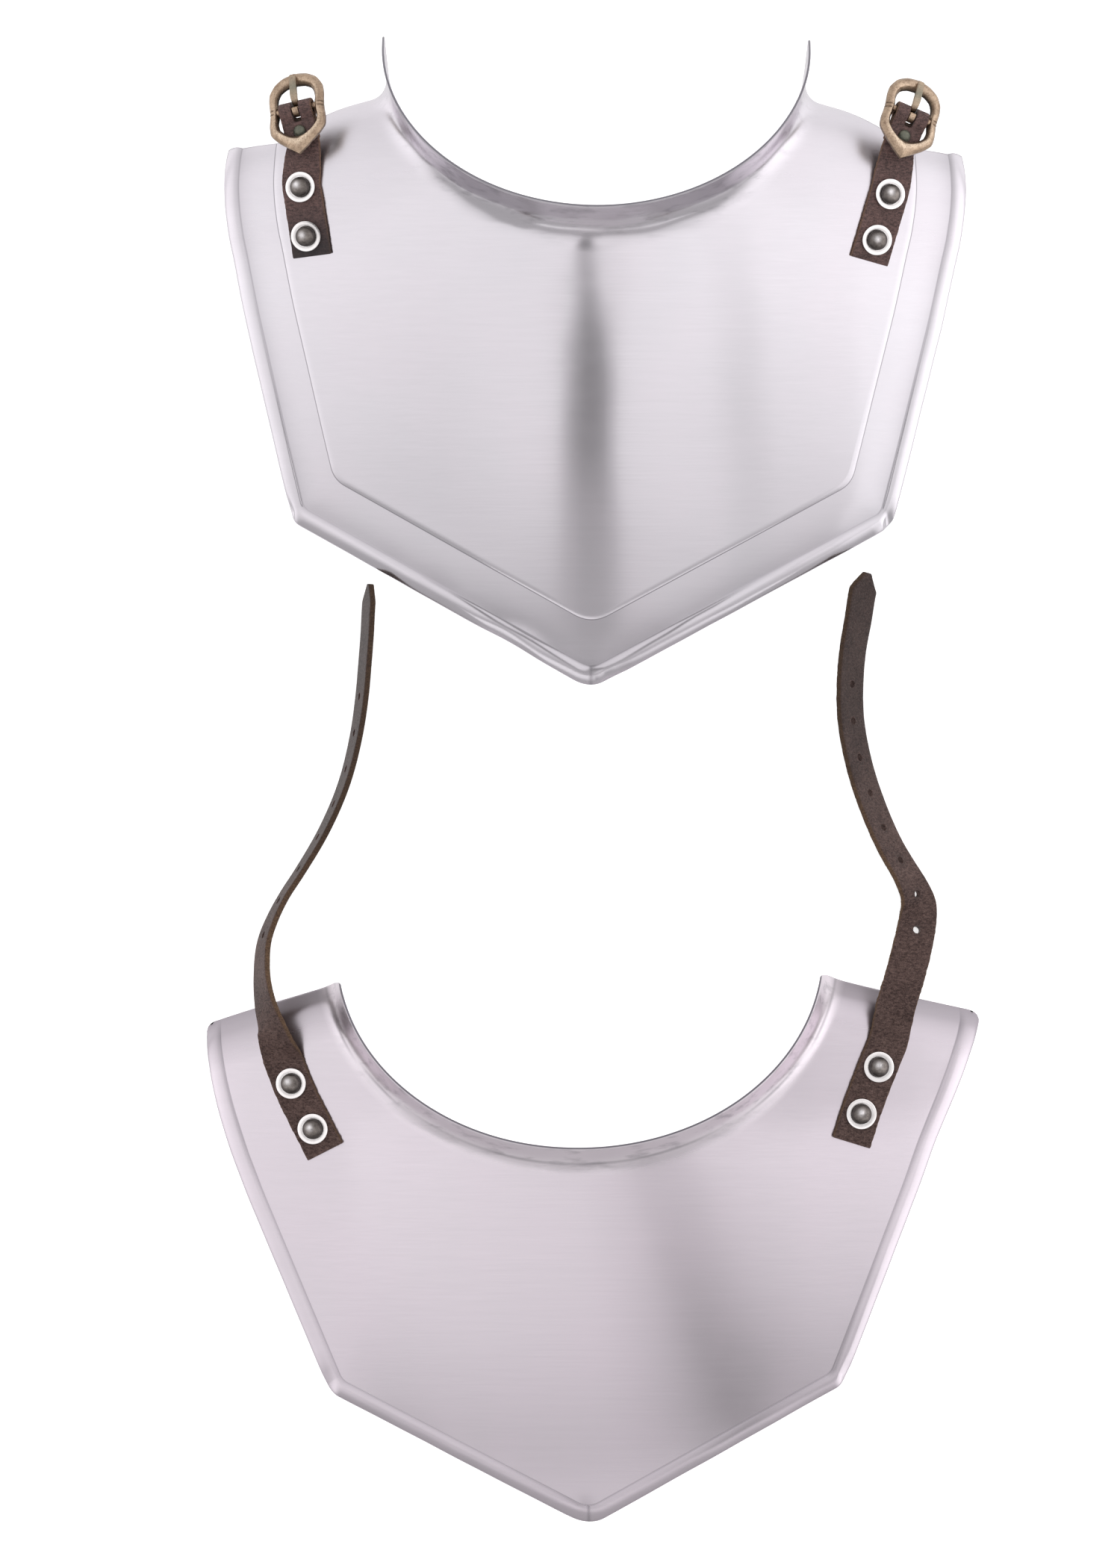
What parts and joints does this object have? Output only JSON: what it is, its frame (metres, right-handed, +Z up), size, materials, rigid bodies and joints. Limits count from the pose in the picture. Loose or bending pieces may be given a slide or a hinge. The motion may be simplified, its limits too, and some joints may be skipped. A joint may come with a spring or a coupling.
{
  "type": "gorget",
  "caption": "Steel gorget laid out open: chest plate with standing collar and buckled leather tabs, back plate with long punched leather straps.",
  "frame": {"origin": "middle of the footprint of the laid-out gorget, on the surface it lies on", "axes": "+Z up from the surface, +Y from the back plate towards the front plate's collar, +X to the right of the picture"},
  "size_m": [0.3508, 0.6704, 0.0732],
  "materials": {
    "steel": "brushed satin, fine lines across, slightly lilac grey",
    "leather": "dark brown split leather, matt, fuzzy cut edges",
    "aged_brass": "antiqued, dark in the hollows",
    "green_brass": "dull with green tarnish",
    "dark_rivet": "dark pewter grey, peened by hand",
    "bright_washer": "bright nickel"
  },
  "bodies": {
    "gorget": {"front_plate": "steel", "back_plate": "steel", "tab_left": "leather", "tab_right": "leather", "loop_rivet_left": "green_brass", "loop_rivet_right": "green_brass", "strap_left": "leather", "strap_right": "leather", "front_rivet_left_low": "dark_rivet", "front_rivet_left_high": "dark_rivet", "front_rivet_right_low": "dark_rivet", "front_rivet_right_high": "dark_rivet", "front_washer_left_low": "bright_washer", "front_washer_left_high": "bright_washer", "front_washer_right_low": "bright_washer", "front_washer_right_high": "bright_washer", "back_rivet_left_low": "dark_rivet", "back_rivet_left_high": "dark_rivet", "back_rivet_right_low": "dark_rivet", "back_rivet_right_high": "dark_rivet", "back_washer_left_low": "bright_washer", "back_washer_left_high": "bright_washer", "back_washer_right_low": "bright_washer", "back_washer_right_high": "bright_washer"},
    "buckle_left": {"buckle_left": "aged_brass"},
    "buckle_right": {"buckle_right": "aged_brass"},
    "prong_left": {"prong_left": "aged_brass"},
    "prong_right": {"prong_right": "aged_brass"}
  },
  "joints": [
    {"name": "buckle_left_turn", "type": "hinge", "parent": "gorget", "child": "buckle_left", "pos_m": [-0.13395, 0.30199, 0.03734], "axis": [0.932, 0.2131, 0.2931], "range_deg": [-76, 3]},
    {"name": "prong_left_turn", "type": "hinge", "parent": "buckle_left", "child": "prong_left", "pos_m": [-0.13395, 0.30199, 0.03734], "axis": [0.932, 0.2131, 0.2931], "range_deg": [0, 140]},
    {"name": "buckle_right_turn", "type": "hinge", "parent": "gorget", "child": "buckle_right", "pos_m": [0.14248, 0.29935, 0.03716], "axis": [0.8882, -0.3726, -0.2689], "range_deg": [-90, 3]},
    {"name": "prong_right_turn", "type": "hinge", "parent": "buckle_right", "child": "prong_right", "pos_m": [0.14248, 0.29935, 0.03716], "axis": [0.8882, -0.3726, -0.2689], "range_deg": [0, 140]}
  ]
}
